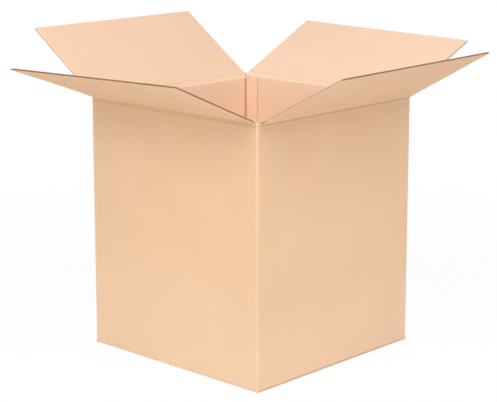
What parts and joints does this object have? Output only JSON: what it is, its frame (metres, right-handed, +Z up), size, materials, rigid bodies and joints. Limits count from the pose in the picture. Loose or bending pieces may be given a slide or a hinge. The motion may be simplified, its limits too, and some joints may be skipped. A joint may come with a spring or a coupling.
{
  "type": "corrugated shipping box",
  "caption": "Square corrugated cardboard shipping box, standing open with its hinged top flaps folded outwards and its bottom flaps closed and taped.",
  "frame": {"origin": "on the floor, under the middle of the box's square plan, on the underside of the bottom tape", "axes": "+Z up; the walls face -Y (front), +X (right), +Y (back) and -X (left); the outer flaps are on the front and back walls and the bottom seam runs along X"},
  "size_m": [0.8461, 0.876, 0.6529],
  "materials": {
    "kraft_board": "matt kraft corrugated board",
    "paper_tape": "gummed kraft paper tape"
  },
  "bodies": {
    "carton": {"carton_body": "kraft_board", "bottom_tape": "paper_tape"},
    "front_flap": {"front_flap": "kraft_board"},
    "right_flap": {"right_flap": "kraft_board"},
    "back_flap": {"back_flap": "kraft_board"},
    "left_flap": {"left_flap": "kraft_board"}
  },
  "joints": [
    {"name": "front_flap_hinge", "type": "hinge", "parent": "carton", "child": "front_flap", "pos_m": [0, -0.2325, 0.52485], "axis": [-1, 0, 0], "range_deg": [-97.5, 157.5]},
    {"name": "back_flap_hinge", "type": "hinge", "parent": "carton", "child": "back_flap", "pos_m": [0, 0.2325, 0.52485], "axis": [1, 0, 0], "range_deg": [-100.5, 154.5]},
    {"name": "right_flap_hinge", "type": "hinge", "parent": "carton", "child": "right_flap", "pos_m": [0.2325, 0, 0.52055], "axis": [0, -1, 0], "range_deg": [-104, 151]},
    {"name": "left_flap_hinge", "type": "hinge", "parent": "carton", "child": "left_flap", "pos_m": [-0.2325, 0, 0.52055], "axis": [0, 1, 0], "range_deg": [-110, 145]}
  ]
}
